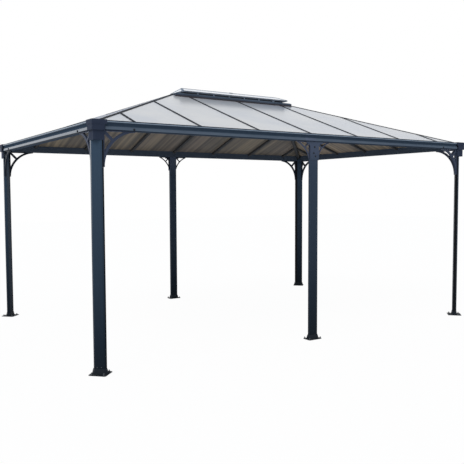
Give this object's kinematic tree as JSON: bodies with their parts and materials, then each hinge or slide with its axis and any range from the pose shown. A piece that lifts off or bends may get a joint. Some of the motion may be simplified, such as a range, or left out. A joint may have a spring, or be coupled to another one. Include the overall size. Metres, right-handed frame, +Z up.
{
  "type": "metal gazebo",
  "caption": "Hard-top garden gazebo: slim metal posts with bolted feet, gutter beams and curved braces carry a hipped roof of tinted panels with a raised ridge vent",
  "frame": {"origin": "ground level under the middle of the plan", "axes": "+X along the long side to the right seen from the front, -Y the front long side, +Z up"},
  "size_m": [5.0778, 3.4278, 2.88],
  "materials": {
    "frame_paint": "satin slate-blue powder coat",
    "roof_bar_paint": "satin slate-blue powder coat",
    "cap_moulding": "moulded slate-blue plastic",
    "spacer_plastic": "pale grey plastic",
    "tinted_panel": "grey-brown tinted twin-wall sheet"
  },
  "bodies": {
    "root": {"back_beam": "frame_paint", "back_gutter_fascia": "frame_paint", "back_left_braces": "frame_paint", "back_left_foot": "frame_paint", "back_left_gutter_cap": "cap_moulding", "back_left_hip": "roof_bar_paint", "back_left_post": "frame_paint", "back_mid_braces": "frame_paint", "back_mid_foot": "frame_paint", "back_mid_post": "frame_paint", "back_panels": "tinted_panel", "back_rafters": "roof_bar_paint", "back_right_braces": "frame_paint", "back_right_foot": "frame_paint", "back_right_gutter_cap": "cap_moulding", "back_right_hip": "roof_bar_paint", "back_right_post": "frame_paint", "front_beam": "frame_paint", "front_gutter_fascia": "frame_paint", "front_left_braces": "frame_paint", "front_left_foot": "frame_paint", "front_left_gutter_cap": "cap_moulding", "front_left_hip": "roof_bar_paint", "front_left_post": "frame_paint", "front_mid_braces": "frame_paint", "front_mid_foot": "frame_paint", "front_mid_post": "frame_paint", "front_panels": "tinted_panel", "front_rafters": "roof_bar_paint", "front_right_braces": "frame_paint", "front_right_foot": "frame_paint", "front_right_gutter_cap": "cap_moulding", "front_right_hip": "roof_bar_paint", "front_right_post": "frame_paint", "gutter_floor": "frame_paint", "left_beam": "frame_paint", "left_gutter_fascia": "frame_paint", "left_panels": "tinted_panel", "left_rafters": "roof_bar_paint", "right_beam": "frame_paint", "right_gutter_fascia": "frame_paint", "right_panels": "tinted_panel", "right_rafters": "roof_bar_paint", "vent_cap_bars": "roof_bar_paint", "vent_cap_frame": "roof_bar_paint", "vent_cap_panels": "tinted_panel", "vent_frame": "roof_bar_paint", "vent_rails": "roof_bar_paint", "vent_spacers": "spacer_plastic"}
  },
  "joints": []
}
